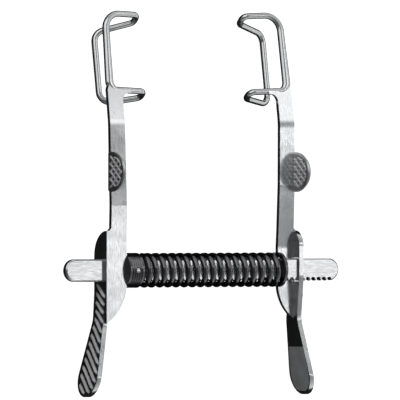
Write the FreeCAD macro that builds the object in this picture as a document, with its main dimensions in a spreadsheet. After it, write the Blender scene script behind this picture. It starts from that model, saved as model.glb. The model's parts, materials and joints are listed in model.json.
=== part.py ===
import FreeCAD, Part
import math
import os
import Sketcher

# Self-retaining eye speculum: two arms with wire lid blades on a flat toothed guide bar.
# The left arm is fixed to the bar, and the right arm slides on it against a coil spring.
# Everything is drawn with X along the bar, Y from the thumb levers up to the blades and
# Z from the back of the instrument to its front, and is then laid on its back on a table.

doc = FreeCAD.newDocument("eye_speculum")
sheet = doc.addObject("Spreadsheet::Sheet", "sizes")

SIZES = {
    # guide bar with its rack
    "bar_length": 63.0,
    "bar_height": 4.5,
    "bar_thickness": 1.6,
    "bar_edge_chamfer": 0.3,
    "rack_pitch": 1.25,
    "rack_depth": 0.75,
    "rack_crest": 0.25,
    "rack_notch_draft": 0.08,
    "rack_notch_round": 0.36,
    "rack_end_margin": 1.7,
    "rack_notches": 17,
    # sheet that the arms, wings and thumb levers are bent from
    "sheet_thickness": 1.0,
    "left_plate_depth": 1.3,
    "left_plate_knee": 13.0,
    "right_plate_gap": 0.3,
    "right_plate_knee": 4.5,
    "right_plate_rise_end": 17.0,
    "right_plate_rise": 1.0,
    "arm_waist_below_blade": 6.5,
    "left_waist_depth": 0.1,
    "right_waist_depth": -0.25,
    "arm_bend_radius": 12.0,
    # outline of an arm, seen from the front
    "plate_outer": 22.85,
    "plate_inner": 18.3,
    "arm_outer": 21.8,
    "arm_outer_top": 21.25,
    "arm_inner_top": 17.95,
    "shoulder_height": 7.3,
    "shoulder_flare": 1.1,
    "heel_height": 6.9,
    "heel_end": 10.6,
    "heel_radius": 9.0,
    "web_radius": 1.6,
    "web_reach": 2.0,
    # wing and thumb lever, seen from the side
    "wing_top": 7.9,
    "left_wing_back": -3.35,
    "left_wing_radius": 5.0,
    "right_wing_front": 1.4,
    "right_wing_radius": 3.2,
    "left_neck_start": 4.5,
    "right_neck_start": 1.5,
    "neck_height": 9.8,
    "neck_front": 0.4,
    "neck_back": -3.9,
    "neck_radius": 9.0,
    "paddle_end": 25.2,
    "paddle_front": 2.25,
    "paddle_back": -6.95,
    "lever_bend_height": 10.0,
    "lever_spread": 3.05,
    "lever_bend_radius": 8.0,
    "window_clearance": 0.15,
    # finger pads on the arms
    "pad_height": 19.6,
    "pad_half_height": 4.0,
    "pad_reach": 5.9,
    "pad_thickness": 0.8,
    "pad_proud": 0.25,
    "pad_crown": 3.3,
    "pad_shoulder": 1.65,
    "pad_long_radius": 6.0,
    "pad_short_radius": 3.1,
    "pad_bevel": 0.3,
    # lid blades, bent from round wire
    "blade_wire": 1.3,
    "blade_fit": 0.02,
    "blade_sides": 12,
    "blade_bend_steps": 5,
    "blade_tip": 12.25,
    "blade_front_bottom": 20.5,
    "blade_front_top": 20.1,
    "blade_back": 19.5,
    "blade_bottom": 36.0,
    "blade_top": 51.3,
    "blade_front_depth": -1.2,
    "blade_lean": 10.0,
    "blade_back_depth": 5.8,
    "blade_back_drop_bottom": 2.8,
    "blade_back_drop_top": 3.9,
    "tip_gap": 1.75,
    "tip_drop_top": 1.5,
    "tip_drop_bottom": 1.25,
    "tip_set_back": 0.7,
    "blade_root_radius": 1.75,
    "blade_top_radius": 3.3,
    "blade_back_radius": 2.2,
    "blade_tip_radius": 1.15,
    # collar, pin, spring and spring seat
    "collar_length": 3.8,
    "collar_radius": 3.5,
    "collar_chamfer": 0.6,
    "collar_grooves": 5,
    "groove_pitch": 0.5,
    "groove_depth": 0.2,
    "groove_start": 0.6,
    "collar_fit": 0.04,
    "pin_radius": 0.5,
    "pin_fit": 0.02,
    "spring_radius": 3.5,
    "spring_wire": 1.15,
    "spring_turns": 17,
    "spring_closed_turns": 0.75,
    "spring_closed_gap": 0.03,
    "spring_sides": 6,
    "spring_sections": 10,
    "seat_radius": 3.5,
    "seat_thickness": 0.6,
    "seat_clearance": 0.12,
    "seat_gap": 0.25,
}

for row, (alias, number) in enumerate(SIZES.items(), start=1):
    sheet.set(f"A{row}", alias)
    sheet.set(f"B{row}", str(number))
    sheet.setAlias(f"B{row}", alias)
doc.recompute()


def size(alias):
    """A size read back from the sheet."""
    return float(getattr(sheet, alias))


def value(expression):
    """The number that an expression on the sheet gives."""
    return float(sheet.evalExpression(expression))


def add_body(label):
    body = doc.addObject("PartDesign::Body", label)
    body.Label = label
    return body


def add_sketch(body, plane, name, offset=None):
    """A sketch on one of the body's origin planes, moved along its normal by an expression."""
    sketch = body.newObject("Sketcher::SketchObject", name)
    support = next(item for item in body.Origin.OriginFeatures if item.Role == plane)
    sketch.AttachmentSupport = (support, [""])
    sketch.MapMode = "FlatFace"
    if offset:
        sketch.setExpression("AttachmentOffset.Base.z", offset)
    return sketch


def bind(sketch, constraints, expressions):
    """Adds the constraints and ties the numbered ones to the sheet."""
    sketch.addConstraint(constraints)
    for index, expression in expressions:
        sketch.setExpression(f"Constraints[{index}]", expression)


def draw_outline(sketch, corners):
    """A closed outline of straight edges whose corners are sharp or rounded.

    Each corner is (across, up, radius), three expressions, with None for a sharp corner.
    The drawn corner of a rounded one stays as a construction point.
    """
    count = len(corners)
    spots = [FreeCAD.Vector(value(across), value(up), 0) for across, up, radius in corners]
    entries = []
    exits = []
    arcs = {}
    for index, spot in enumerate(spots):
        radius = corners[index][2]
        if radius is None:
            entries.append(spot)
            exits.append(spot)
            continue
        arriving = (spot - spots[index - 1]).normalize()
        leaving = (spots[(index + 1) % count] - spot).normalize()
        turn = arriving.getAngle(leaving)
        reach = value(radius) * math.tan(turn / 2)
        entry = spot - arriving * reach
        leave = spot + leaving * reach
        left_turn = arriving.cross(leaving).z > 0
        inward = FreeCAD.Vector(-arriving.y, arriving.x, 0) * (1 if left_turn else -1)
        centre = entry + inward * value(radius)
        first, last = (entry, leave) if left_turn else (leave, entry)
        start = math.atan2(first.y - centre.y, first.x - centre.x)
        circle = Part.Circle(centre, FreeCAD.Vector(0, 0, 1), value(radius))
        arcs[index] = (Part.ArcOfCircle(circle, start, start + turn), left_turn)
        entries.append(entry)
        exits.append(leave)
    lines = [Part.LineSegment(exits[i], entries[(i + 1) % count]) for i in range(count)]
    rounded = sorted(arcs)
    arc_at = {index: count + place for place, index in enumerate(rounded)}
    point_at = {index: count + len(rounded) + place for place, index in enumerate(rounded)}
    sketch.addGeometry(lines + [arcs[index][0] for index in rounded], False)
    if rounded:
        sketch.addGeometry([Part.Point(spots[index]) for index in rounded], True)
    constraints = []
    expressions = []

    def hold(geometry, across, up):
        for kind, expression in (("DistanceX", across), ("DistanceY", up)):
            expressions.append((len(constraints), expression))
            number = value(expression)
            constraints.append(Sketcher.Constraint(kind, -1, 1, geometry, 1, number))

    for index in range(count):
        across, up, radius = corners[index]
        before = (index - 1) % count
        if radius is None:
            constraints.append(Sketcher.Constraint("Coincident", before, 2, index, 1))
            hold(index, across, up)
            continue
        arc = arc_at[index]
        point = point_at[index]
        near, far = (1, 2) if arcs[index][1] else (2, 1)
        constraints.append(Sketcher.Constraint("Tangent", before, 2, arc, near))
        constraints.append(Sketcher.Constraint("Tangent", arc, far, index, 1))
        constraints.append(Sketcher.Constraint("PointOnObject", point, 1, before))
        constraints.append(Sketcher.Constraint("PointOnObject", point, 1, index))
        expressions.append((len(constraints), radius))
        constraints.append(Sketcher.Constraint("Radius", arc, value(radius)))
        hold(point, across, up)
    bind(sketch, constraints, expressions)


def draw_rectangle(sketch, half_width, half_height):
    """A rectangle about the sketch's origin, from two half sizes."""
    draw_outline(sketch, [
        (f"-({half_width})", f"-({half_height})", None),
        (half_width, f"-({half_height})", None),
        (half_width, half_height, None),
        (f"-({half_width})", half_height, None),
    ])


def draw_circle(sketch, across, radius):
    """A circle on the sketch's horizontal axis."""
    centre = FreeCAD.Vector(value(across), 0, 0)
    circle = sketch.addGeometry(Part.Circle(centre, FreeCAD.Vector(0, 0, 1), value(radius)), False)
    first = len(sketch.Constraints)
    bind(sketch, [
        Sketcher.Constraint("Radius", circle, value(radius)),
        Sketcher.Constraint("DistanceX", -1, 1, circle, 3, value(across)),
        Sketcher.Constraint("PointOnObject", circle, 3, -1),
    ], [(first, radius), (first + 1, across)])


def add_pad(body, sketch, length, midplane=True):
    pad = body.newObject("PartDesign::Pad", sketch.Name + "_pad")
    pad.Profile = sketch
    pad.setExpression("Length", length)
    pad.Midplane = midplane
    sketch.Visibility = False
    doc.recompute()
    return pad


def add_pocket(body, sketch):
    """Cuts the sketch right through the body, both ways."""
    before = body.Shape.Volume
    pocket = body.newObject("PartDesign::Pocket", sketch.Name + "_pocket")
    pocket.Profile = sketch
    pocket.Type = "ThroughAll"
    pocket.Midplane = True
    sketch.Visibility = False
    doc.recompute()
    if not body.Shape.Volume < before:
        raise RuntimeError(f"{pocket.Name} cuts nothing")
    return pocket


def repeat(body, feature, axis, length, copies):
    """Repeats a feature in a row along an axis of its own sketch."""
    pattern = body.newObject("PartDesign::LinearPattern", feature.Name + "_row")
    pattern.Originals = [feature]
    pattern.Direction = (feature.Profile[0], [axis])
    pattern.setExpression("Length", length)
    pattern.setExpression("Occurrences", copies)
    body.Tip = pattern
    doc.recompute()
    return pattern


def edges_where(shape, wanted):
    """The names of the edges that a test accepts."""
    return [f"Edge{i}" for i, edge in enumerate(shape.Edges, start=1) if wanted(edge)]


def join(kind, name, parts):
    """A boolean of several objects, or a cut of the second from the first."""
    result = doc.addObject(kind, name)
    if kind == "Part::Cut":
        result.Base, result.Tool = parts
    else:
        result.Shapes = parts
    for part in parts:
        part.Visibility = False
    return result


def make_guide_bar():
    """Flat bar with full round ends and rack notches in its lower edge."""
    body = add_body("guide_bar")
    outline = add_sketch(body, "XY_Plane", "bar_outline")
    end_round = "sizes.bar_height / 2 - 0.001"
    draw_outline(outline, [
        ("-sizes.bar_length / 2", "-sizes.bar_height / 2", end_round),
        ("sizes.bar_length / 2", "-sizes.bar_height / 2", end_round),
        ("sizes.bar_length / 2", "sizes.bar_height / 2", end_round),
        ("-sizes.bar_length / 2", "sizes.bar_height / 2", end_round),
    ])
    pad = add_pad(body, outline, "sizes.bar_thickness")
    face_height = size("bar_thickness") / 2

    def on_a_face(edge):
        return all(abs(abs(v.Z) - face_height) < 1e-6 for v in edge.Vertexes)

    chamfer = body.newObject("PartDesign::Chamfer", "bar_edges")
    chamfer.Base = (pad, edges_where(pad.Shape, on_a_face))
    chamfer.setExpression("Size", "sizes.bar_edge_chamfer")
    doc.recompute()
    notch = add_sketch(body, "XY_Plane", "rack_notch")
    first = "sizes.bar_length / 2 - sizes.rack_end_margin - sizes.rack_pitch / 2"
    half_mouth = "(sizes.rack_pitch - sizes.rack_crest) / 2"
    half_top = f"({half_mouth} - sizes.rack_notch_draft)"
    mouth = "-(sizes.bar_height / 2 + sizes.rack_depth)"
    top = "-(sizes.bar_height / 2 - sizes.rack_depth)"
    draw_outline(notch, [
        (f"{first} - {half_mouth} - sizes.rack_notch_draft", mouth, None),
        (f"{first} + {half_mouth} + sizes.rack_notch_draft", mouth, None),
        (f"{first} + {half_top}", top, "sizes.rack_notch_round"),
        (f"{first} - {half_top}", top, "sizes.rack_notch_round"),
    ])
    pocket = add_pocket(body, notch)
    row = repeat(
        body, pocket, "H_Axis", "sizes.rack_pitch * (sizes.rack_notches - 1)", "sizes.rack_notches"
    )
    row.Reversed = True
    hole = add_sketch(body, "XY_Plane", "bar_pin_hole")
    draw_circle(hole, PIN_PLACE, "sizes.pin_radius + sizes.pin_fit")
    add_pocket(body, hole)
    return body


COLLAR_LEFT = "(-sizes.plate_inner)"
COLLAR_RIGHT = "(-sizes.plate_inner + sizes.collar_length)"
PIN_PLACE = "-sizes.plate_inner + sizes.collar_length / 2"
SEAT_LEFT = "(sizes.plate_inner - sizes.seat_gap - sizes.seat_thickness)"
PLATE_HALF = "sizes.sheet_thickness / 2"
# The blanks that the arms are cut from run well past the arms on both sides.
BLANK_WIDTH = "4 * sizes.plate_outer"
BLANK_DEPTH = "2 * sizes.plate_outer"


def make_collar():
    """Turned collar beside the left arm, grooved for grip and bored square for the bar."""
    body = add_body("spring_collar")
    profile = add_sketch(body, "XY_Plane", "collar_profile")
    draw_outline(profile, [
        (COLLAR_LEFT, "0", None),
        (COLLAR_RIGHT, "0", None),
        (COLLAR_RIGHT, "sizes.collar_radius - sizes.collar_chamfer", None),
        (f"{COLLAR_RIGHT} - sizes.collar_chamfer", "sizes.collar_radius", None),
        (COLLAR_LEFT, "sizes.collar_radius", None),
    ])
    turned = body.newObject("PartDesign::Revolution", "collar_turned")
    turned.Profile = profile
    turned.ReferenceAxis = (profile, ["H_Axis"])
    turned.Angle = 360
    profile.Visibility = False
    doc.recompute()
    groove_sketch = add_sketch(body, "XY_Plane", "collar_groove")
    first = f"({COLLAR_LEFT} + sizes.groove_start)"
    rim = "sizes.collar_radius + sizes.groove_depth"
    draw_outline(groove_sketch, [
        (f"{first} - 2 * sizes.groove_depth", rim, None),
        (first, "sizes.collar_radius - sizes.groove_depth", None),
        (f"{first} + 2 * sizes.groove_depth", rim, None),
    ])
    groove = body.newObject("PartDesign::Groove", "collar_groove_cut")
    groove.Profile = groove_sketch
    groove.ReferenceAxis = (groove_sketch, ["H_Axis"])
    groove.Angle = 360
    groove_sketch.Visibility = False
    doc.recompute()
    repeat(
        body, groove, "H_Axis", "sizes.groove_pitch * (sizes.collar_grooves - 1)",
        "sizes.collar_grooves",
    )
    bore = add_sketch(body, "YZ_Plane", "collar_bore")
    draw_rectangle(
        bore, "sizes.bar_height / 2 + sizes.collar_fit", "sizes.bar_thickness / 2 + sizes.collar_fit"
    )
    add_pocket(body, bore)
    hole = add_sketch(body, "XY_Plane", "collar_pin_hole")
    draw_circle(hole, PIN_PLACE, "sizes.pin_radius + sizes.pin_fit")
    add_pocket(body, hole)
    return body


def make_collar_pin():
    """Cross pin through collar and bar, flush with the collar."""
    body = add_body("collar_pin")
    section = add_sketch(body, "XY_Plane", "pin_section")
    draw_circle(section, PIN_PLACE, "sizes.pin_radius")
    flush = "2 * sqrt((sizes.collar_radius - sizes.groove_depth) ^ 2 - sizes.pin_radius ^ 2)"
    add_pad(body, section, flush)
    return body


def make_spring_seat():
    """Thin slotted washer between the spring and the sliding arm."""
    body = add_body("spring_seat")
    section = add_sketch(body, "YZ_Plane", "seat_section", SEAT_LEFT)
    draw_circle(section, "0", "sizes.seat_radius")
    add_pad(body, section, "sizes.seat_thickness", midplane=False)
    slot = add_sketch(body, "YZ_Plane", "seat_slot")
    draw_rectangle(
        slot,
        "sizes.bar_height / 2 + sizes.seat_clearance",
        "sizes.bar_thickness / 2 + sizes.seat_clearance",
    )
    add_pocket(body, slot)
    return body


def make_spring():
    """Compression spring round the bar, with closed end turns.

    Its wire is a row of flat-sided sections, joined straight from one to the next.
    """
    wire = size("spring_wire") / 2
    radius = size("spring_radius") - wire
    left = value(COLLAR_RIGHT) + wire
    right = value(SEAT_LEFT) - wire
    turns = size("spring_turns")
    closed = size("spring_closed_turns")
    closed_pitch = size("spring_wire") + size("spring_closed_gap")
    open_pitch = (right - left - 2 * closed * closed_pitch) / (turns - 2 * closed)
    sides = int(size("spring_sides"))
    steps = int(size("spring_sections") * turns)
    sections = []
    for step in range(steps + 1):
        turn = turns * step / steps
        at_left = min(turn, closed)
        at_right = max(turn - (turns - closed), 0)
        place = left + closed_pitch * (at_left + at_right) + open_pitch * (turn - at_left - at_right)
        angle = 2 * math.pi * turn
        outward = FreeCAD.Vector(0, math.cos(angle), math.sin(angle))
        along = FreeCAD.Vector(1, 0, 0)
        centre = outward * radius + along * place
        ring = []
        for side in range(sides):
            tilt = 2 * math.pi * (side + 0.5) / sides
            ring.append(centre + outward * wire * math.cos(tilt) + along * wire * math.sin(tilt))
        sections.append(Part.makePolygon(ring + ring[:1]))
    spring = doc.addObject("Part::Feature", "spring")
    spring.Label = "spring"
    spring.Shape = Part.makeLoft(sections, True, True)
    return spring


# The blade's long back limb starts at the fifth of its corners.
BLADE_BACK_CORNER = 4


def blade_corners(side):
    """The corners of a blade's wire with their bend radii, going round the loop."""
    lean = math.tan(math.radians(size("blade_lean")))
    bottom = size("blade_bottom")
    top = size("blade_top")
    front = size("blade_front_depth")
    front_top = front - lean * (top - bottom)
    back_bottom = bottom - size("blade_back_drop_bottom")
    back_top = top - size("blade_back_drop_top")
    back = front - size("blade_back_depth")
    tip = size("blade_tip")
    gap = size("tip_gap")
    drop_top = size("tip_drop_top")
    drop_bottom = size("tip_drop_bottom")
    set_back = size("tip_set_back")
    back_rise = lean * (back_top - back_bottom)
    tip_radius = size("blade_tip_radius")
    corners = [
        (size("blade_front_bottom"), bottom, front, size("blade_root_radius")),
        (size("blade_front_top"), top, front_top, size("blade_top_radius")),
        (tip, top - set_back / 2, front_top - set_back, tip_radius),
        (tip, top - set_back / 2 - drop_top, front_top - set_back - gap, tip_radius),
        (size("blade_back"), back_top, back - back_rise, size("blade_back_radius")),
        (size("blade_back"), back_bottom, back, size("blade_back_radius")),
        (tip, bottom - set_back / 2 - drop_bottom, front - set_back - gap, tip_radius),
        (tip, bottom - set_back / 2, front - set_back, tip_radius),
    ]
    return [(FreeCAD.Vector(side * x, y, z), radius) for x, y, z, radius in corners]


def bent_loop(corners, steps):
    """Points round a closed loop whose corners are bent to their radii, with the way ahead.

    The last two items of each point say which corner it belongs to and whether it ends the bend.
    """
    count = len(corners)
    loop = []
    for index, (spot, radius) in enumerate(corners):
        arriving = (spot - corners[index - 1][0]).normalize()
        leaving = (corners[(index + 1) % count][0] - spot).normalize()
        turn = arriving.getAngle(leaving)
        inward = (leaving - arriving).normalize()
        centre = spot + inward * (radius / math.cos(turn / 2))
        outward = (spot - arriving * (radius * math.tan(turn / 2)) - centre).normalize()
        for step in range(steps + 1):
            angle = turn * step / steps
            out = outward * math.cos(angle) + arriving * math.sin(angle)
            ahead = arriving * math.cos(angle) - outward * math.sin(angle)
            loop.append((centre + out * radius, ahead, index, step == steps))
    return loop


def wire_sections(loop, radius, sides, slack_corner):
    """Flat-sided sections of wire round a closed loop, without twist in its bends.

    What twist is left at the end is taken up in the straight run after the slack corner.
    """
    frames = []
    side = loop[0][1].cross(FreeCAD.Vector(0, 0, 1)).normalize()
    for spot, ahead, corner, last in loop + loop[:1]:
        side = (side - ahead * side.dot(ahead)).normalize()
        frames.append(side)
    home = frames.pop()
    slack = home.getAngle(frames[0])
    if home.cross(frames[0]).dot(loop[0][1]) < 0:
        slack = -slack
    step = 2 * math.pi / sides
    slack -= step * round(slack / step)
    sections = []
    turned = 0.0
    for (spot, ahead, corner, last), side in zip(loop, frames):
        other = ahead.cross(side)
        ring = []
        for k in range(sides):
            angle = step * k + turned
            ring.append(spot + (side * math.cos(angle) + other * math.sin(angle)) * radius)
        sections.append(ring)
        if corner == slack_corner and last:
            turned = slack
    first = sections[0]
    shift = min(range(sides), key=lambda k: close_up(sections[-1], first, k))
    sections.append(first[shift:] + first[:shift])
    return [Part.makePolygon(ring + ring[:1]) for ring in sections]


def close_up(ring, other, shift):
    """How far apart two rings of points are when the second one is shifted round."""
    count = len(ring)
    return sum((ring[k] - other[(k + shift) % count]).Length for k in range(count))


def make_loop(name, side, radius):
    """A closed loop of wire along a blade's middle line."""
    loop = bent_loop(blade_corners(side), int(size("blade_bend_steps")))
    sections = wire_sections(loop, radius, int(size("blade_sides")), BLADE_BACK_CORNER)
    half = len(sections) // 2
    front = Part.makeLoft(sections[:half + 1], True, True)
    back = Part.makeLoft(sections[half:], True, True)
    item = doc.addObject("Part::Feature", name)
    item.Label = name
    item.Shape = front.fuse(back).removeSplitter()
    return item


def make_blade(name, side):
    """Lid blade: one loop of wire, hooked over at its top and bottom."""
    return make_loop(name, side, size("blade_wire") / 2)


def plate_depths(side):
    """The middle of an arm's sheet, as (height, depth) expressions from heel to blade."""
    top = "sizes.blade_bottom + 2 * sizes.web_radius"
    top_depth = "sizes.blade_front_depth - 2 * sizes.web_radius * tan(sizes.blade_lean * 1 deg)"
    heel = "-2 * sizes.heel_end"
    if side < 0:
        return [
            (heel, "sizes.left_plate_depth"),
            ("sizes.left_plate_knee", "sizes.left_plate_depth"),
            ("sizes.blade_bottom - sizes.arm_waist_below_blade", "sizes.left_waist_depth"),
            (top, top_depth),
        ]
    depth = f"(-sizes.bar_thickness / 2 - sizes.right_plate_gap - {PLATE_HALF})"
    return [
        (heel, depth),
        ("sizes.right_plate_knee", depth),
        ("sizes.right_plate_rise_end", f"{depth} + sizes.right_plate_rise"),
        ("sizes.blade_bottom - sizes.arm_waist_below_blade", "sizes.right_waist_depth"),
        (top, top_depth),
    ]


def make_plate(name, side):
    """The flat part of an arm: its front outline cut from the sheet bent in side view."""
    outline_body = add_body(name + "_outline")
    outline = add_sketch(outline_body, "XY_Plane", name + "_front")
    web_top = "sizes.blade_bottom + sizes.blade_root_radius"
    inner_web = "sizes.blade_bottom - sizes.blade_wire / 2"
    corners = [
        ("sizes.plate_outer", "-sizes.heel_end", None),
        ("sizes.plate_outer", "sizes.shoulder_height", None),
        ("sizes.arm_outer", "sizes.shoulder_height + sizes.shoulder_flare", None),
        ("sizes.arm_outer_top", "sizes.blade_bottom", None),
        ("sizes.blade_front_bottom", web_top, None),
        ("sizes.blade_front_bottom", "sizes.blade_bottom", "sizes.blade_root_radius - 0.01"),
        ("sizes.arm_inner_top - sizes.web_reach", "sizes.blade_bottom", None),
        ("sizes.arm_inner_top - sizes.web_reach", inner_web, None),
        ("sizes.arm_inner_top", inner_web, "sizes.web_radius"),
        ("sizes.plate_inner", "sizes.shoulder_height", None),
        ("sizes.plate_inner", "-sizes.heel_height", "sizes.heel_radius"),
    ]
    draw_outline(outline, [(f"{side} * ({x})", y, radius) for x, y, radius in corners])
    add_pad(outline_body, outline, BLANK_DEPTH)
    sheet_body = add_body(name + "_sheet")
    bent = add_sketch(sheet_body, "YZ_Plane", name + "_side")
    depths = plate_depths(side)
    rounded = [None] + ["sizes.arm_bend_radius"] * (len(depths) - 2) + [None]
    front = [(y, f"{z} + {PLATE_HALF}", r) for (y, z), r in zip(depths, rounded)]
    back = [(y, f"{z} - {PLATE_HALF}", r) for (y, z), r in zip(depths, rounded)]
    draw_outline(bent, front + back[::-1])
    add_pad(sheet_body, bent, BLANK_WIDTH)
    return join("Part::MultiCommon", name + "_plate", [outline_body, sheet_body])


def make_wing(name, side):
    """Wing and thumb lever: the side outline cut from the sheet bent outward below."""
    left = side < 0
    plate = plate_depths(side)[0][1]
    outer = f"{plate} {'+' if left else '-'} {PLATE_HALF}"
    shoulder = "sizes.left_wing_back" if left else "sizes.right_wing_front"
    shoulder_radius = "sizes.left_wing_radius" if left else "sizes.right_wing_radius"
    start = "sizes.left_neck_start" if left else "sizes.right_neck_start"
    front_start = (outer if left else shoulder, f"-{start}", "sizes.neck_radius")
    neck_front = ("sizes.neck_front", "-sizes.neck_height", "sizes.neck_radius")
    neck_back = ("sizes.neck_back", "-sizes.neck_height", "sizes.neck_radius")
    back_start = (shoulder if left else outer, f"-{start}", "sizes.neck_radius")
    # The lever's sides spread towards its end, which is as round as they let it be.
    length = "(sizes.paddle_end - sizes.neck_height)"
    front_slope = f"((sizes.paddle_front - sizes.neck_front) / {length})"
    back_slope = f"((sizes.neck_back - sizes.paddle_back) / {length})"
    corners_take = " + ".join(f"{slope} + sqrt(1 + {slope} ^ 2)" for slope in (front_slope, back_slope))
    end_round = f"(sizes.paddle_front - sizes.paddle_back) / ({corners_take}) - 0.01"
    paddle = [
        ("sizes.paddle_front", "-sizes.paddle_end", end_round),
        ("sizes.paddle_back", "-sizes.paddle_end", end_round),
    ]
    sharp = (outer, "sizes.wing_top", None)
    round_shoulder = (shoulder, "sizes.wing_top", shoulder_radius)
    if left:
        corners = [round_shoulder, sharp, front_start, neck_front, *paddle, neck_back, back_start]
    else:
        corners = [sharp, round_shoulder, front_start, neck_front, *paddle, neck_back, back_start]
    outline_body = add_body(name + "_wing_outline")
    outline = add_sketch(outline_body, "YZ_Plane", name + "_wing_side")
    draw_outline(outline, [(up, depth, radius) for depth, up, radius in corners])
    add_pad(outline_body, outline, BLANK_WIDTH)
    sheet_body = add_body(name + "_wing_sheet")
    bent = add_sketch(sheet_body, "XY_Plane", name + "_wing_front")
    inner = "(sizes.plate_outer - sizes.sheet_thickness)"
    end = "-sizes.paddle_end - sizes.sheet_thickness"
    corners = [
        ("sizes.plate_outer", "2 * sizes.wing_top", None),
        ("sizes.plate_outer", "-sizes.lever_bend_height", "sizes.lever_bend_radius"),
        ("sizes.plate_outer + sizes.lever_spread", end, None),
        (f"{inner} + sizes.lever_spread", end, None),
        (inner, "-sizes.lever_bend_height", "sizes.lever_bend_radius"),
        (inner, "2 * sizes.wing_top", None),
    ]
    draw_outline(bent, [(f"{side} * ({x})", y, radius) for x, y, radius in corners])
    add_pad(sheet_body, bent, BLANK_DEPTH)
    return join("Part::MultiCommon", name + "_wing", [outline_body, sheet_body])


def make_window(name, clearance):
    """The passage for the bar through a wing."""
    body = add_body(name + "_window")
    section = add_sketch(body, "YZ_Plane", name + "_window_section")
    draw_rectangle(
        section, f"sizes.bar_height / 2 + {clearance}", f"sizes.bar_thickness / 2 + {clearance}"
    )
    add_pad(body, section, BLANK_WIDTH)
    return body


def make_finger_pad(name, side):
    """D-shaped finger pad that stands forward from the arm's outer edge."""
    body = add_body(name)
    heights = plate_depths(side)
    (low_height, low_depth), (high_height, high_depth) = heights[-3:-1]
    share = f"((sizes.pad_height - {low_height}) / ({high_height} - {low_height}))"
    middle = f"({low_depth} + ({high_depth} - ({low_depth})) * {share})"
    tip = f"{middle} + {PLATE_HALF} + sizes.pad_reach"
    high = "sizes.pad_height + sizes.pad_half_height"
    low = "sizes.pad_height - sizes.pad_half_height"
    shoulder = f"{tip} - sizes.pad_crown"
    outer = f"(sizes.pad_height + {{}} * sizes.pad_shoulder)"
    inner_face = "(sizes.arm_outer - sizes.pad_thickness + sizes.pad_proud)"
    offset = inner_face if side > 0 else f"-({inner_face} + sizes.pad_thickness)"
    sketch = add_sketch(body, "YZ_Plane", name + "_side", offset)
    draw_outline(sketch, [
        (low, middle, None),
        (high, middle, None),
        (high, shoulder, "sizes.pad_long_radius"),
        (outer.format(1), tip, "sizes.pad_short_radius"),
        (outer.format(-1), tip, "sizes.pad_short_radius"),
        (low, shoulder, "sizes.pad_long_radius"),
    ])
    pad = add_pad(body, sketch, "sizes.pad_thickness", midplane=False)
    front = value(f"{middle} + {PLATE_HALF}")

    def on_the_curve(edge):
        flat = abs(edge.Vertexes[0].X - edge.Vertexes[-1].X) < 1e-6
        return flat and edge.BoundBox.ZMax > front + 1e-6

    bevel = body.newObject("PartDesign::Chamfer", name + "_bevel")
    bevel.Base = (pad, edges_where(pad.Shape, on_the_curve))
    bevel.setExpression("Size", "sizes.pad_bevel")
    doc.recompute()
    return body


def make_arm(name, side, clearance, finger_pad):
    """An arm: plate, wing and thumb lever in one bent sheet, cut out for what it carries."""
    plate = make_plate(name, side)
    wing = make_wing(name, side)
    bent = join("Part::MultiFuse", name + "_bent", [plate, wing])
    bent.Refine = True
    window = make_window(name, clearance)
    cope = make_loop(name + "_cope", side, size("blade_wire") / 2 + size("blade_fit"))
    seats = join("Part::MultiFuse", name + "_seats", [window, finger_pad, cope])
    arm = join("Part::Cut", name, [bent, seats])
    arm.Label = name
    finger_pad.Visibility = True
    return arm


guide_bar = make_guide_bar()
spring_collar = make_collar()
collar_pin = make_collar_pin()
spring_seat = make_spring_seat()
spring = make_spring()
left_blade = make_blade("left_blade", -1)
right_blade = make_blade("right_blade", 1)
left_finger_pad = make_finger_pad("left_finger_pad", -1)
right_finger_pad = make_finger_pad("right_finger_pad", 1)
left_arm = make_arm("left_arm", -1, "0", left_finger_pad)
right_arm = make_arm("right_arm", 1, "sizes.window_clearance", right_finger_pad)
doc.recompute()

NODES = [
    left_arm, left_blade, left_finger_pad, guide_bar, spring_collar, collar_pin, spring,
    spring_seat, right_arm, right_blade, right_finger_pad,
]


def lowest(objects, tilt):
    """How far down a group reaches with the instrument tilted about the bar."""
    turn = FreeCAD.Placement(FreeCAD.Vector(), FreeCAD.Rotation(FreeCAD.Vector(1, 0, 0), tilt))
    reach = []
    for item in objects:
        shape = item.Shape.copy()
        shape.Placement = turn.multiply(shape.Placement)
        reach.append(shape.optimalBoundingBox(False, False).ZMin)
    return min(reach)


def rest_placement():
    """Lays the instrument on its back, on its thumb levers and the backs of its blades."""
    low, high = 0.0, 10.0
    while high - low > 0.001:
        middle = (low + high) / 2
        if lowest([left_blade], middle) < lowest([left_arm], middle):
            low = middle
        else:
            high = middle
    turn = FreeCAD.Placement(FreeCAD.Vector(), FreeCAD.Rotation(FreeCAD.Vector(1, 0, 0), high))
    box = FreeCAD.BoundBox()
    for item in NODES:
        shape = item.Shape.copy()
        shape.Placement = turn.multiply(shape.Placement)
        box.add(shape.optimalBoundingBox(False, False))
    down = FreeCAD.Placement(FreeCAD.Vector(-box.Center.x, -box.Center.y, -box.ZMin),
                             FreeCAD.Rotation())
    return down.multiply(turn)


rest = rest_placement()
for item in doc.Objects:
    if item.TypeId in ("PartDesign::Body", "Part::Feature"):
        item.Placement = rest.multiply(item.Placement)
doc.recompute()

for item in doc.Objects:
    if "Invalid" in item.State or "Error" in item.State:
        raise RuntimeError(f"{item.Label} did not compute")
for item in NODES:
    if item.Shape.isNull() or not item.Shape.isValid():
        raise RuntimeError(f"{item.Label} has no valid shape")
    if len(item.Shape.Solids) != 1:
        raise RuntimeError(f"{item.Label} has {len(item.Shape.Solids)} solids")
os.makedirs("parts", exist_ok=True)
for item in NODES:
    item.Shape.exportStep(f"parts/{item.Label}.step")
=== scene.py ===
import bmesh
import bpy
import json
import math
from mathutils import Matrix, Vector


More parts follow.
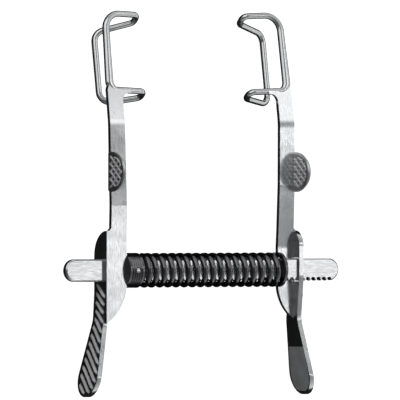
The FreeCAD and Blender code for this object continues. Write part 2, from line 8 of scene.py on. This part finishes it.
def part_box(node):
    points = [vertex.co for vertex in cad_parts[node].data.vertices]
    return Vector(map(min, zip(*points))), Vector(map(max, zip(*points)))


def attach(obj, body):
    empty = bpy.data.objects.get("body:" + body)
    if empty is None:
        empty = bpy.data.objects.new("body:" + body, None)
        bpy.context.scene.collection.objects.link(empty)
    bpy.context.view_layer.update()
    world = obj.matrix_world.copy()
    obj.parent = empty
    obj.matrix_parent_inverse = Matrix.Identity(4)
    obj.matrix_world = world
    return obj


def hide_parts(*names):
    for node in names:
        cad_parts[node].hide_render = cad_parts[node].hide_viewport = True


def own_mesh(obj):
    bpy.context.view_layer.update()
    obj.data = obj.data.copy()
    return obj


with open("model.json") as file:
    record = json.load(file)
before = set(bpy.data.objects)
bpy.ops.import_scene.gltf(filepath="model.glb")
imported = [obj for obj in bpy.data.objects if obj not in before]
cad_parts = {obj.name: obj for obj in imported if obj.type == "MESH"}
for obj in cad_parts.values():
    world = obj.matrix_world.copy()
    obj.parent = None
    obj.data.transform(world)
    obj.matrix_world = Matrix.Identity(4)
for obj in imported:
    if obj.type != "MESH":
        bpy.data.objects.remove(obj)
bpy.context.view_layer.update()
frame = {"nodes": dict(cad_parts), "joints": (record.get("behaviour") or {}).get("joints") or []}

# Sizes are in millimetres in the instrument's own directions: x along the guide bar,
# y up the instrument to the blades and z out of its front. The bar's middle is 0, 0, 0.
# The table top, the lamps and the camera's distances are in metres.
MM = 0.001
joints = {joint["name"]: joint for joint in frame["joints"]}
ACROSS = Vector(joints["arm_slide"]["axis"])
FRONT = Vector(joints["arm_rock"]["axis"])
UP = FRONT.cross(ACROSS)
bar_low, bar_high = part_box("guide_bar")
ORIGIN = (bar_low + bar_high) / 2


def spot(x, y, z):
    """A place on the instrument, as a point in the scene."""
    return ORIGIN + (ACROSS * x + UP * y + FRONT * z) * MM


# Materials

# Scratches and handling marks are noise. Each pair is a noise value and what it turns into.
SCRATCH_DETAIL = 4.0
SCRATCH_DEPTH = 0.02
SCRATCH_TO_ROUGHNESS = (0.3, -0.05), (0.7, 0.07)
MARK_SCALE = 260.0
MARK_DETAIL = 3.0
MARK_TO_ROUGHNESS = (0.35, -0.02), (0.7, 0.05)
MARK_TO_SHADE = (0.3, 0.93), (0.7, 1.05)


def new_group(name, inputs, outputs):
    """An empty node group with its sockets, and the nodes at its two ends."""
    group = bpy.data.node_groups.new(name, "ShaderNodeTree")
    for socket, kind, default in inputs:
        made = group.interface.new_socket(socket, in_out="INPUT", socket_type=kind)
        made.default_value = default
    for socket, kind in outputs:
        group.interface.new_socket(socket, in_out="OUTPUT", socket_type=kind)
    return group, group.nodes.new("NodeGroupInput"), group.nodes.new("NodeGroupOutput")


def ramp(nodes, low, high):
    """A node that runs straight from one (value, result) to another and is level beyond them."""
    made = nodes.new("ShaderNodeMapRange")
    made.inputs["From Min"].default_value, made.inputs["To Min"].default_value = low
    made.inputs["From Max"].default_value, made.inputs["To Max"].default_value = high
    return made


def noise(nodes, scale, detail):
    """A noise texture with its scale and detail."""
    made = nodes.new("ShaderNodeTexNoise")
    made.inputs["Scale"].default_value = scale
    made.inputs["Detail"].default_value = detail
    return made


def make_steel_group():
    """Fine scratches, faint handling marks and a slightly uneven finish on worked steel."""
    group, entry, leave = new_group(
        "worked_steel",
        [
            ("Tint", "NodeSocketColor", (0.6, 0.6, 0.6, 1)),
            ("Roughness", "NodeSocketFloat", 0.25),
            ("Grain", "NodeSocketVector", (1, 1, 1)),
            ("Relief", "NodeSocketFloat", 0.1),
        ],
        [
            ("Color", "NodeSocketColor"),
            ("Roughness", "NodeSocketFloat"),
            ("Normal", "NodeSocketVector"),
        ],
    )
    nodes, links = group.nodes, group.links
    place = nodes.new("ShaderNodeTexCoord")
    stretch = nodes.new("ShaderNodeVectorMath")
    stretch.operation = "MULTIPLY"
    links.new(place.outputs["Object"], stretch.inputs[0])
    links.new(entry.outputs["Grain"], stretch.inputs[1])
    scratches = noise(nodes, 1.0, SCRATCH_DETAIL)
    links.new(stretch.outputs["Vector"], scratches.inputs["Vector"])
    marks = noise(nodes, MARK_SCALE, MARK_DETAIL)
    links.new(place.outputs["Object"], marks.inputs["Vector"])

    spread = ramp(nodes, *SCRATCH_TO_ROUGHNESS)
    links.new(scratches.outputs["Fac"], spread.inputs["Value"])
    smear = ramp(nodes, *MARK_TO_ROUGHNESS)
    links.new(marks.outputs["Fac"], smear.inputs["Value"])
    both = nodes.new("ShaderNodeMath")
    links.new(spread.outputs["Result"], both.inputs[0])
    links.new(smear.outputs["Result"], both.inputs[1])
    total = nodes.new("ShaderNodeMath")
    total.use_clamp = True
    links.new(both.outputs["Value"], total.inputs[0])
    links.new(entry.outputs["Roughness"], total.inputs[1])
    links.new(total.outputs["Value"], leave.inputs["Roughness"])

    shade = ramp(nodes, *MARK_TO_SHADE)
    links.new(marks.outputs["Fac"], shade.inputs["Value"])
    tinted = nodes.new("ShaderNodeVectorMath")
    tinted.operation = "SCALE"
    links.new(entry.outputs["Tint"], tinted.inputs[0])
    links.new(shade.outputs["Result"], tinted.inputs["Scale"])
    links.new(tinted.outputs["Vector"], leave.inputs["Color"])

    bump = nodes.new("ShaderNodeBump")
    bump.inputs["Distance"].default_value = SCRATCH_DEPTH * MM
    links.new(entry.outputs["Relief"], bump.inputs["Strength"])
    links.new(scratches.outputs["Fac"], bump.inputs["Height"])
    links.new(bump.outputs["Normal"], leave.inputs["Normal"])
    return group


STEEL_GROUP = make_steel_group()


def steel(name, tint, roughness, grain, relief):
    """A stainless steel finish; grain is how fine the scratches are along each axis."""
    material = bpy.data.materials.new(name)
    material.use_nodes = True
    nodes, links = material.node_tree.nodes, material.node_tree.links
    shader = nodes["Principled BSDF"]
    shader.inputs["Metallic"].default_value = 1.0
    worked = nodes.new("ShaderNodeGroup")
    worked.node_tree = STEEL_GROUP
    worked.inputs["Tint"].default_value = (*tint, 1)
    worked.inputs["Roughness"].default_value = roughness
    worked.inputs["Grain"].default_value = grain
    worked.inputs["Relief"].default_value = relief
    links.new(worked.outputs["Color"], shader.inputs["Base Color"])
    links.new(worked.outputs["Roughness"], shader.inputs["Roughness"])
    links.new(worked.outputs["Normal"], shader.inputs["Normal"])
    return material


SHEET = steel("satin_sheet", (0.70, 0.71, 0.72), 0.17, (9000, 700, 9000), 0.12)
WIRE = steel("polished_wire", (0.74, 0.75, 0.76), 0.16, (3000, 3000, 3000), 0.06)
BAR = steel("ground_bar", (0.66, 0.67, 0.68), 0.16, (600, 9000, 9000), 0.12)
# The collar, the seat and the spring are tinted near black, much darker than the other steel.
TURNED = steel("turned_collar", (0.18, 0.18, 0.19), 0.2, (9000, 1500, 1500), 0.10)
SPRING = steel("spring_wire", (0.18, 0.18, 0.19), 0.16, (2500, 2500, 2500), 0.10)
PAD = steel("satin_pad", (0.72, 0.73, 0.74), 0.38, (5000, 5000, 5000), 0.12)
# The panel is matte. Its tint is paler than the sheet, painted light that makes the lower inner face
# of the right lever lighter.
PANEL = steel("matte_panel_painted_lighter", (0.88, 0.89, 0.90), 0.75, (2000, 9000, 2000), 0.3)
# The ridges are real. Their tint is paler than the steel they stand on, a painted highlight that
# makes them read as bright lines.
PAINTED_BRIGHT_RIDGES = steel("ridges_painted_bright", (0.95, 0.95, 0.96), 0.75, (4000, 4000, 4000), 0.10)

# What every piece is made with

MERGE_WITHIN = 0.002
FLAT_WITHIN = math.radians(0.6)
SHARP_FROM = math.radians(28)
EDGE_SEGMENTS = 3


def put_in_scene(name, data):
    """A new object in the scene, for a mesh, a lamp or a camera."""
    made = bpy.data.objects.new(name, data)
    bpy.context.scene.collection.objects.link(made)
    return made


def finish_piece(piece, body, material, nodes=()):
    """Gives a new piece its finish, the body that it moves with and what it stands for."""
    piece.data.materials.clear()
    piece.data.materials.append(material)
    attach(piece, body)
    if nodes:
        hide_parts(*nodes)


def mesh_piece(name, points, faces, smooth=True):
    """A mesh from points on the instrument, in millimetres."""
    mesh = bpy.data.meshes.new(name)
    mesh.from_pydata([spot(*point) for point in points], [], faces)
    mesh.validate()
    mesh.polygons.foreach_set("use_smooth", [smooth] * len(mesh.polygons))
    return put_in_scene(name, mesh)


def softened_copy(name, node, width):
    """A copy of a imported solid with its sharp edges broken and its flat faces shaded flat."""
    mesh = frame["nodes"][node].data.copy()
    mesh.name = name
    work = bmesh.new()
    work.from_mesh(mesh)
    bmesh.ops.remove_doubles(work, verts=work.verts, dist=MERGE_WITHIN * MM)
    bmesh.ops.dissolve_limit(work, angle_limit=FLAT_WITHIN, verts=work.verts, edges=work.edges)
    work.to_mesh(mesh)
    work.free()
    mesh.polygons.foreach_set("use_smooth", [True] * len(mesh.polygons))
    piece = put_in_scene(name, mesh)
    bevel = piece.modifiers.new("broken_edges", "BEVEL")
    bevel.width = width * MM
    bevel.segments = EDGE_SEGMENTS
    bevel.limit_method = "ANGLE"
    bevel.angle_limit = SHARP_FROM
    even = piece.modifiers.new("flat_faces", "WEIGHTED_NORMAL")
    even.keep_sharp = True
    return piece


def directions_along(points, closed):
    """The direction of a route at each of its points."""
    count = len(points)
    if closed:
        ahead = [points[(i + 1) % count] - points[i - 1] for i in range(count)]
    else:
        ahead = [points[min(i + 1, count - 1)] - points[max(i - 1, 0)] for i in range(count)]
    return [direction.normalized() for direction in ahead]


def sides_along(ahead):
    """A direction square to the route at each point, carried along it without twist."""
    side = ahead[0].orthogonal().normalized()
    sides = [side]
    for direction in ahead[1:]:
        side = side - direction * side.dot(direction)
        side.normalize()
        sides.append(side)
    return sides


def closing_twist(ahead, sides):
    """The angle between the last side and the first where a closed route meets itself."""
    home = sides[-1] - ahead[0] * sides[-1].dot(ahead[0])
    home.normalize()
    return math.atan2(home.cross(sides[0]).dot(ahead[0]), home.dot(sides[0]))


def tube(name, route, radii, corners, closed=False, widths=None):
    """A round tube along a route; widths are how much wider than deep it is at each point."""
    points = [Vector(point) for point in route]
    count = len(points)
    ahead = directions_along(points, closed)
    sides = sides_along(ahead)
    twist = closing_twist(ahead, sides) if closed else 0.0
    verts = []
    for i in range(count):
        turn = twist * i / count
        other = ahead[i].cross(sides[i])
        for k in range(corners):
            angle = 2 * math.pi * k / corners + turn
            out = sides[i] * math.cos(angle) + other * math.sin(angle)
            out *= radii[i]
            if widths:
                out.x *= widths[i]
            verts.append(points[i] + out)
    faces = []
    for i in range(count if closed else count - 1):
        here, there = i * corners, ((i + 1) % count) * corners
        for k in range(corners):
            following = (k + 1) % corners
            faces.append((here + k, here + following, there + following, there + k))
    if not closed:
        faces.append(tuple(reversed(range(corners))))
        faces.append(tuple((count - 1) * corners + k for k in range(corners)))
    return mesh_piece(name, verts, faces)


# Arms, finger pads, bar, collar, pin and seat

# Piece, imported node, width of its broken edges, body, material slot and finish.
SOFTENED_PIECES = [
    ("left_arm_sheet", "left_arm", 0.16, "fixed_arm", "sheet_steel", SHEET),
    ("right_arm_sheet", "right_arm", 0.16, "sliding_arm", "sheet_steel", SHEET),
    ("toothed_bar", "guide_bar", 0.06, "fixed_arm", "bar_steel", BAR),
    ("turned_collar", "spring_collar", 0.05, "fixed_arm", "bar_steel", TURNED),
    ("cross_pin", "collar_pin", 0.06, "fixed_arm", "bar_steel", BAR),
    ("slotted_seat", "spring_seat", 0.06, "slider", "bar_steel", TURNED),
    ("left_pad", "left_finger_pad", 0.1, "fixed_arm", "sheet_steel", PAD),
    ("right_pad", "right_finger_pad", 0.1, "sliding_arm", "sheet_steel", PAD),
]
for name, node, width, body, slot, material in SOFTENED_PIECES:
    finish_piece(softened_copy(name, node, width), body, material, [node])

# Lid blades

WIRE_RADIUS = 0.65
WIRE_CORNERS = 24
BEND_STEPS = 14
RUN_STEP = 0.4
EVENING_SWEEPS = 12

# The front limb is wider than it is deep, most of all at its foot, and the rest is a little thinner.
LIMB_WIDTH = 1.16
LIMB_FOOT_WIDTH = 0.24
LIMB_FOOT, LIMB_FOOT_LENGTH = 37.0, 9.0
LIMB_BACK, LIMB_INNER = -4.0, 19.4
THIN_SHARE = 0.97

# The right loop's corners and the radius of each bend, from its foot up the front and back down.
BLADE_CORNERS = [
    ((20.5, 36.0, -1.2), 1.75),
    ((20.1, 51.3, -3.898), 3.3),
    ((12.25, 50.95, -4.598), 1.15),
    ((12.25, 49.45, -6.348), 1.15),
    ((19.5, 47.4, -9.504), 2.2),
    ((19.5, 33.2, -7.0), 2.2),
    ((12.25, 34.4, -3.65), 1.15),
    ((12.25, 35.65, -1.9), 1.15),
]


def bent_corner(before, corner, after, radius):
    """Points round the bend that a wire makes at a corner."""
    arriving = (corner - before).normalized()
    leaving = (after - corner).normalized()
    turn = arriving.angle(leaving)
    inward = (leaving - arriving).normalized()
    centre = corner + inward * (radius / math.cos(turn / 2))
    outward = corner - arriving * (radius * math.tan(turn / 2)) - centre
    bend = []
    for k in range(BEND_STEPS + 1):
        angle = turn * k / BEND_STEPS
        bend.append(centre + outward * math.cos(angle) + arriving * radius * math.sin(angle))
    return bend


def rounded_route(corners):
    """Points round a closed loop whose corners are bent to their radii."""
    spots = [Vector(point) for point, radius in corners]
    radii = [radius for point, radius in corners]
    count = len(corners)
    bends = []
    for i in range(count):
        bends.append(bent_corner(spots[i - 1], spots[i], spots[(i + 1) % count], radii[i]))
    route = []
    for i, bend in enumerate(bends):
        route += bend
        start, end = bend[-1], bends[(i + 1) % count][0]
        between = max(2, round((end - start).length / RUN_STEP))
        route += [start.lerp(end, k / between) for k in range(1, between)]
    return route


def evened(numbers):
    """A closed row of numbers, smoothed by averaging each with its neighbours."""
    count = len(numbers)
    for sweep in range(EVENING_SWEEPS):
        numbers = [
            (numbers[i - 1] + numbers[i] + numbers[(i + 1) % count]) / 3 for i in range(count)
        ]
    return numbers


def make_blade(name, side, body, node):
    """Lid loop of one bent wire, wider in its front limb, most of all at its foot on the arm."""
    route = [Vector((side * x, y, z)) for x, y, z in rounded_route(BLADE_CORNERS)]
    widths = []
    for point in route:
        on_front = point.z > LIMB_BACK and abs(point.x) > LIMB_INNER
        foot = 1 - min(max((point.y - LIMB_FOOT) / LIMB_FOOT_LENGTH, 0), 1)
        widths.append(LIMB_WIDTH + LIMB_FOOT_WIDTH * foot if on_front else 1.0)
    radii = [WIRE_RADIUS * (THIN_SHARE if width == 1.0 else 1.0) for width in widths]
    piece = tube(name, route, evened(radii), WIRE_CORNERS, closed=True, widths=evened(widths))
    finish_piece(piece, body, WIRE, [node])


make_blade("left_lid_loop", -1, "fixed_arm", "left_blade")
make_blade("right_lid_loop", 1, "sliding_arm", "right_blade")

# Cross-hatched faces of the finger pads

RIDGE_ROOT = -0.03
PAD_MIDDLE, PAD_HALF, PAD_RIM = 19.6, 4.0, 0.95
PAD_STEPS, PAD_FULLNESS = 40, 0.72
HATCH_PITCH, HATCH_SLOPE, HATCH_HEIGHT = 1.5, 0.75, 0.2
HATCH_HALF, HATCH_TOP_SHARE = 0.22, 0.3
HATCH_CENTRE_DEPTH, HATCHES_EACH_WAY, SHORTEST_HATCH = 4.0, 9, 0.8


def ridge_section(half, top_half, height):
    """The four corners of a ridge's section, as (offset across it, height off the face)."""
    return (-half, RIDGE_ROOT), (-top_half, height), (top_half, height), (half, RIDGE_ROOT)


def straight_ridge(start, end, outward):
    """The corners and faces of a straight ridge, with a flat top and sloping flanks."""
    start, end, outward = Vector(start), Vector(end), Vector(outward)
    across = outward.cross(end - start).normalized()
    points = []
    for foot in (start, end):
        for offset, lift in ridge_section(HATCH_HALF, HATCH_TOP_SHARE * HATCH_HALF, HATCH_HEIGHT):
            points.append(foot + across * offset + outward * lift)
    faces = [(n, n + 1, n + 5, n + 4) for n in range(3)]
    return points, faces + [(3, 2, 1, 0), (4, 5, 6, 7)]


def pad_outline(flat, tip):
    """Points round the hatched field of a pad's face as (height, depth), in from its edge."""
    depth = tip - flat - 2 * PAD_RIM
    half = PAD_HALF - PAD_RIM
    points = []
    for k in range(PAD_STEPS + 1):
        angle = math.pi * (k / PAD_STEPS)
        reach = abs(math.sin(angle)) ** PAD_FULLNESS
        points.append((PAD_MIDDLE + half * math.cos(angle), flat + PAD_RIM + depth * reach))
    return points


def chord(outline, place, slope):
    """Where the line through (place, 0) crosses an outline, as two points or nothing."""
    crossings = []
    for k, (y, z) in enumerate(outline):
        last_y, last_z = outline[k - 1]
        off, last_off = y - place - slope * z, last_y - place - slope * last_z
        if (off > 0) != (last_off > 0):
            share = last_off / (last_off - off)
            crossings.append((last_y + (y - last_y) * share, last_z + (z - last_z) * share))
    return crossings if len(crossings) == 2 else []


def add_hatching(name, outline, face, outward, body):
    """Two sets of slanting ridges that cross on a pad's face."""
    points, faces = [], []
    for slope in (-HATCH_SLOPE, HATCH_SLOPE):
        middle = PAD_MIDDLE - slope * HATCH_CENTRE_DEPTH
        for k in range(-HATCHES_EACH_WAY, HATCHES_EACH_WAY + 1):
            ends = chord(outline, middle + k * HATCH_PITCH, slope)
            if len(ends) < 2 or math.dist(*ends) < SHORTEST_HATCH:
                continue
            corners, sides = straight_ridge(*[(face, y, z) for y, z in ends], (outward, 0, 0))
            faces += [tuple(len(points) + n for n in side) for side in sides]
            points += corners
    piece = mesh_piece(name, points, faces, smooth=False)
    # The hatching takes the paler tint of the painted highlight.
    finish_piece(piece, body, PAINTED_BRIGHT_RIDGES)


for side_name, body in (("left", "fixed_arm"), ("right", "sliding_arm")):
    mesh = frame["nodes"][side_name + "_finger_pad"].data
    places = [(vertex.co - ORIGIN) / MM for vertex in mesh.vertices]
    depths = [place.dot(FRONT) for place in places]
    acrosses = [place.dot(ACROSS) for place in places]
    outline = pad_outline(min(depths), max(depths))
    add_hatching(side_name + "_pad_hatching_low", outline, min(acrosses), -1, body)
    add_hatching(side_name + "_pad_hatching_high", outline, max(acrosses), 1, body)

# Grip ridges on the outer faces of the thumb levers

# The levers' back and front edges, from the bar down, as (height, depth).
LEVER_BACK = [(-2.0, -3.35), (-5.0, -3.4), (-9.8, -3.9), (-14.4, -4.9), (-19.2, -5.8),
              (-21.0, -6.1), (-22.0, -6.05), (-23.0, -5.75), (-24.0, -5.05), (-25.2, -2.4)]
LEVER_FRONT = [(-2.0, 1.8), (-5.0, 1.2), (-9.8, 0.4), (-14.4, 0.9), (-19.2, 1.45),
               (-21.0, 1.5), (-22.0, 1.4), (-23.0, 1.1), (-24.0, 0.4), (-25.2, -2.4)]
PLATE_OUTER, LEVER_BEND, LEVER_SLOPE, BEND_EASE = 22.85, -9.6, 3.05 / 16.2, 0.4

RIDGE_PITCH, RIDGE_SLOPE = 1.85, -0.85
RIDGE_HALF, RIDGE_TOP_HALF, RIDGE_HEIGHT = 0.28, 0.07, 0.36
FIRST_RIDGE, LAST_RIDGE, RIDGE_MIDDLE = -1.2, -25.0, -4.0
RIDGE_STEP, FEWEST_STEPS = 0.15, 4
FADE_STEPS, END_SHARE = 3, 0.15

# The field that carries ridges, and how far they stop from the lever's edges.
FIELD_TOP, FIELD_LOW, FIELD_BACK, FIELD_FRONT = -2.7, -24.6, -7.0, 2.6
BACK_MARGIN, FRONT_MARGIN = 0.9, 0.12


def edge_depth(edge, y):
    """The depth of a lever's edge at a height."""
    for (high, high_depth), (low, low_depth) in zip(edge, edge[1:]):
        if low <= y <= high:
            share = (high - y) / (high - low)
            return high_depth + (low_depth - high_depth) * share
    return None


def lever_face(y):
    """How far out the outer face of a lever stands at a height."""
    below = max(LEVER_BEND - y, 0)
    ease = below * below / (below + BEND_EASE) if below else 0
    return PLATE_OUTER + LEVER_SLOPE * ease


def ridge_run(start):
    """Where one ridge runs on the lever, as points of (height, depth)."""
    run = []
    z = FIELD_BACK
    while z < FIELD_FRONT:
        y = start + RIDGE_SLOPE * (z - RIDGE_MIDDLE)
        back, front = edge_depth(LEVER_BACK, y), edge_depth(LEVER_FRONT, y)
        on_lever = back is not None and back + BACK_MARGIN <= z <= front - FRONT_MARGIN
        if on_lever and FIELD_LOW < y < FIELD_TOP:
            run.append((y, z))
        z += RIDGE_STEP
    return run


def ridge_points(run, side):
    """The corners of a ridge along its run; it sinks into the lever at both ends."""
    points = []
    for k, (y, z) in enumerate(run):
        fade = min(k, len(run) - 1 - k, FADE_STEPS) / FADE_STEPS
        height = RIDGE_HEIGHT * (END_SHARE + (1 - END_SHARE) * fade)
        for offset, lift in ridge_section(RIDGE_HALF, RIDGE_TOP_HALF, height):
            shift = offset / math.hypot(1, RIDGE_SLOPE)
            corner_y, corner_z = y + shift, z - shift * RIDGE_SLOPE
            points.append((side * (lever_face(corner_y) + lift), corner_y, corner_z))
    return points


def ridge_faces(first, count, side):
    """The faces of a ridge whose corners start at first, over count sections."""
    faces = []
    for k in range(count - 1):
        for n in range(3):
            corner = first + 4 * k + n
            faces.append((corner, corner + 1, corner + 5, corner + 4))
    last = first + 4 * (count - 1)
    faces.append((first + 3, first + 2, first + 1, first))
    faces.append((last, last + 1, last + 2, last + 3))
    return faces if side < 0 else [face[::-1] for face in faces]


def add_ridges(name, side, body):
    """Slanting grip ridges that run from near a lever's back edge to its front edge."""
    points, faces = [], []
    start = FIRST_RIDGE
    while start > LAST_RIDGE:
        run = ridge_run(start)
        if len(run) > FEWEST_STEPS:
            faces += ridge_faces(len(points), len(run), side)
            points += ridge_points(run, side)
        start -= RIDGE_PITCH
    piece = mesh_piece(name, points, faces, smooth=False)
    # The ridges take the paler tint of the painted highlight.
    finish_piece(piece, body, PAINTED_BRIGHT_RIDGES)


add_ridges("left_thumb_ridges", -1, "fixed_arm")
add_ridges("right_thumb_ridges", 1, "sliding_arm")

# Bare matte panel on the inner face of the right lever, tinted paler than the sheet as painted light

PANEL_TOP, PANEL_LOW, PANEL_ROWS = -15.6, -24.5, 18
PANEL_BACK_MARGIN, PANEL_FRONT_MARGIN = 0.55, 0.2
SHEET_THICKNESS, PANEL_LIFT, PANEL_THICKNESS = 1.0, 0.02, 0.1


def add_panel():
    """Thin matte field that follows the lever's outline. Its paler tint is painted light that makes
    the lever's lower inner face lighter.
    """
    points, faces = [], []
    for k in range(PANEL_ROWS + 1):
        y = PANEL_TOP + (PANEL_LOW - PANEL_TOP) * k / PANEL_ROWS
        face = lever_face(y) - SHEET_THICKNESS - PANEL_LIFT
        ends = (
            edge_depth(LEVER_BACK, y) + PANEL_BACK_MARGIN,
            edge_depth(LEVER_FRONT, y) - PANEL_FRONT_MARGIN,
        )
        points += [(face, y, z) for z in ends] + [(face + PANEL_THICKNESS, y, z) for z in ends]
    for k in range(PANEL_ROWS):
        here, below = 4 * k, 4 * k + 4
        faces += [
            (here, here + 1, below + 1, below),
            (here + 3, here + 2, below + 2, below + 3),
            (here, below, below + 2, here + 2),
            (here + 1, here + 3, below + 3, below + 1),
        ]
    last = 4 * PANEL_ROWS
    faces += [(1, 0, 2, 3), (last, last + 1, last + 3, last + 2)]
    piece = mesh_piece("right_thumb_panel", points, faces, smooth=False)
    finish_piece(piece, "sliding_arm", PANEL)


add_panel()

# Spring

SPRING_LEFT, SPRING_RIGHT = -14.5, 17.45
SPRING_OUTER, SPRING_WIRE = 3.5, 0.575
SPRING_TURNS, CLOSED_TURNS, CLOSED_PITCH = 17, 0.75, 1.18
STEPS_PER_TURN, SPRING_WIRE_CORNERS = 56, 14


def make_spring():
    """Coil of round wire with closed end turns. The real spring shortens as the arm slides; this
    coil keeps one length and moves with the fixed arm.
    """
    left, right = SPRING_LEFT + SPRING_WIRE, SPRING_RIGHT - SPRING_WIRE
    radius = SPRING_OUTER - SPRING_WIRE
    open_turns = SPRING_TURNS - 2 * CLOSED_TURNS
    open_pitch = (right - left - 2 * CLOSED_TURNS * CLOSED_PITCH) / open_turns
    route = []
    steps = STEPS_PER_TURN * SPRING_TURNS
    for step in range(steps + 1):
        turn = SPRING_TURNS * step / steps
        at_left = min(turn, CLOSED_TURNS)
        at_right = max(turn - (SPRING_TURNS - CLOSED_TURNS), 0)
        middle = turn - at_left - at_right
        x = left + CLOSED_PITCH * (at_left + at_right) + open_pitch * middle
        angle = 2 * math.pi * turn
        route.append((x, radius * math.cos(angle), radius * math.sin(angle)))
    piece = tube("coil_spring", route, [SPRING_WIRE] * len(route), SPRING_WIRE_CORNERS)
    finish_piece(piece, "fixed_arm", SPRING, ["spring"])
    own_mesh(piece)


make_spring()

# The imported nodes' own finishes

NODE_FINISH = {
    "left_arm": SHEET, "right_arm": SHEET, "left_finger_pad": PAD, "right_finger_pad": PAD,
    "left_blade": WIRE, "right_blade": WIRE, "guide_bar": BAR, "collar_pin": BAR,
    "spring_collar": TURNED, "spring_seat": TURNED, "spring": SPRING,
}
for node, material in NODE_FINISH.items():
    mesh = frame["nodes"][node].data
    mesh.materials.clear()
    mesh.materials.append(material)

# Floor, light and camera

FLOOR_SIZE, FLOOR_DROP = 6, 0.0001
FLOOR_COLOUR, FLOOR_GLOW, FLOOR_ROUGHNESS = 0.9, 0.85, 0.9
FLOOR_IN_STEEL = 0.03
SKY_BY_HEIGHT = (0.0, 0.9), (1.0, 0.2)
SKY_FROM_LEFT = (-0.6, 0.2), (0.2, 1.0)
VIEW_ANGLE = math.radians(30)
VIEW_MIDDLE = (-0.46, 14.0, 0.0)
VIEW_DISTANCE, NEAREST, FURTHEST = 1.6, 0.05, 20.0
SENSOR_WIDTH, PICTURE_WIDTH = 36.0, 80 * MM


def grey(value):
    """A grey as red, green, blue and alpha."""
    return (value, value, value, 1)


def camera_sees(nodes, links, seen, hidden, output):
    """Shows one shader to the camera and another to the steel and all else."""
    path = nodes.new("ShaderNodeLightPath")
    mix = nodes.new("ShaderNodeMixShader")
    links.new(path.outputs["Is Camera Ray"], mix.inputs["Fac"])
    links.new(hidden, mix.inputs[1])
    links.new(seen, mix.inputs[2])
    links.new(mix.outputs["Shader"], nodes[output].inputs["Surface"])


def make_floor():
    """Pale table top that shows white to the camera and dark to the steel, as drawn."""
    bpy.ops.mesh.primitive_plane_add(size=FLOOR_SIZE, location=(0, 0, -FLOOR_DROP))
    floor = bpy.context.object
    floor.name = "table_top"
    material = bpy.data.materials.new("table_top")
    material.use_nodes = True
    nodes, links = material.node_tree.nodes, material.node_tree.links
    seen = nodes["Principled BSDF"]
    seen.inputs["Base Color"].default_value = grey(FLOOR_COLOUR)
    seen.inputs["Roughness"].default_value = FLOOR_ROUGHNESS
    seen.inputs["Specular IOR Level"].default_value = 0.0
    seen.inputs["Emission Color"].default_value = grey(1)
    seen.inputs["Emission Strength"].default_value = FLOOR_GLOW
    mirrored = nodes.new("ShaderNodeBsdfDiffuse")
    mirrored.inputs["Color"].default_value = grey(FLOOR_IN_STEEL)
    camera_sees(nodes, links, seen.outputs["BSDF"], mirrored.outputs["BSDF"], "Material Output")
    floor.data.materials.append(material)


def make_world():
    """Soft sky, bright low down, dim overhead and on the left, and white to the camera."""
    world = bpy.data.worlds.new("studio")
    bpy.context.scene.world = world
    world.use_nodes = True
    nodes, links = world.node_tree.nodes, world.node_tree.links
    sky = nodes["Background"]
    sky.inputs["Strength"].default_value = 1.0
    place = nodes.new("ShaderNodeTexCoord")
    split = nodes.new("ShaderNodeSeparateXYZ")
    links.new(place.outputs["Generated"], split.inputs["Vector"])
    height = ramp(nodes, *SKY_BY_HEIGHT)
    links.new(split.outputs["Z"], height.inputs["Value"])
    from_left = ramp(nodes, *SKY_FROM_LEFT)
    links.new(split.outputs["X"], from_left.inputs["Value"])
    shade = nodes.new("ShaderNodeMath")
    shade.operation = "MULTIPLY"
    links.new(height.outputs["Result"], shade.inputs[0])
    links.new(from_left.outputs["Result"], shade.inputs[1])
    links.new(shade.outputs["Value"], sky.inputs["Color"])
    seen = nodes.new("ShaderNodeBackground")
    seen.inputs["Color"].default_value = grey(1)
    camera_sees(
        nodes, links, seen.outputs["Background"], sky.outputs["Background"], "World Output"
    )


def looking(away, up):
    """The rotation of a lamp or camera that looks against a direction, with its top towards up."""
    right = up.cross(away).normalized()
    return Matrix((right, away.cross(right), away)).transposed().to_quaternion()


def add_light(name, place, wide, tall, power):
    """A soft light aimed at the middle of the instrument, its height along the instrument."""
    light = bpy.data.lights.new(name, "AREA")
    light.shape = "RECTANGLE"
    light.size = wide
    light.size_y = tall
    light.energy = power
    lamp = put_in_scene(name, light)
    lamp.location = place
    lamp.rotation_mode = "QUATERNION"
    lamp.rotation_quaternion = looking(Vector(place).normalized(), Vector((0, 1, 0)))


def make_camera():
    """Looks at the instrument square to its long axis, from 30 degrees to its left."""
    data = bpy.data.cameras.new("photo_camera")
    camera = put_in_scene("photo_camera", data)
    bpy.context.scene.camera = camera
    back = (ACROSS * -math.sin(VIEW_ANGLE) + FRONT * math.cos(VIEW_ANGLE)).normalized()
    camera.location = spot(*VIEW_MIDDLE) + back * VIEW_DISTANCE
    camera.rotation_mode = "QUATERNION"
    camera.rotation_quaternion = looking(back, UP)
    data.sensor_width = SENSOR_WIDTH
    data.lens = SENSOR_WIDTH * VIEW_DISTANCE / PICTURE_WIDTH
    data.clip_start = NEAREST
    data.clip_end = FURTHEST


make_floor()
make_world()
add_light("upper_strip", (0.35, 0.166, 0.6), 0.34, 0.137, 0.17)
add_light("lower_strip", (0.35, -0.05, 0.6), 0.34, 0.05, 0.085)
add_light("side_softbox", (-0.5, 0.5, 0.6), 0.95, 0.95, 2.4)
make_camera()
bpy.context.scene.view_settings.view_transform = "Standard"
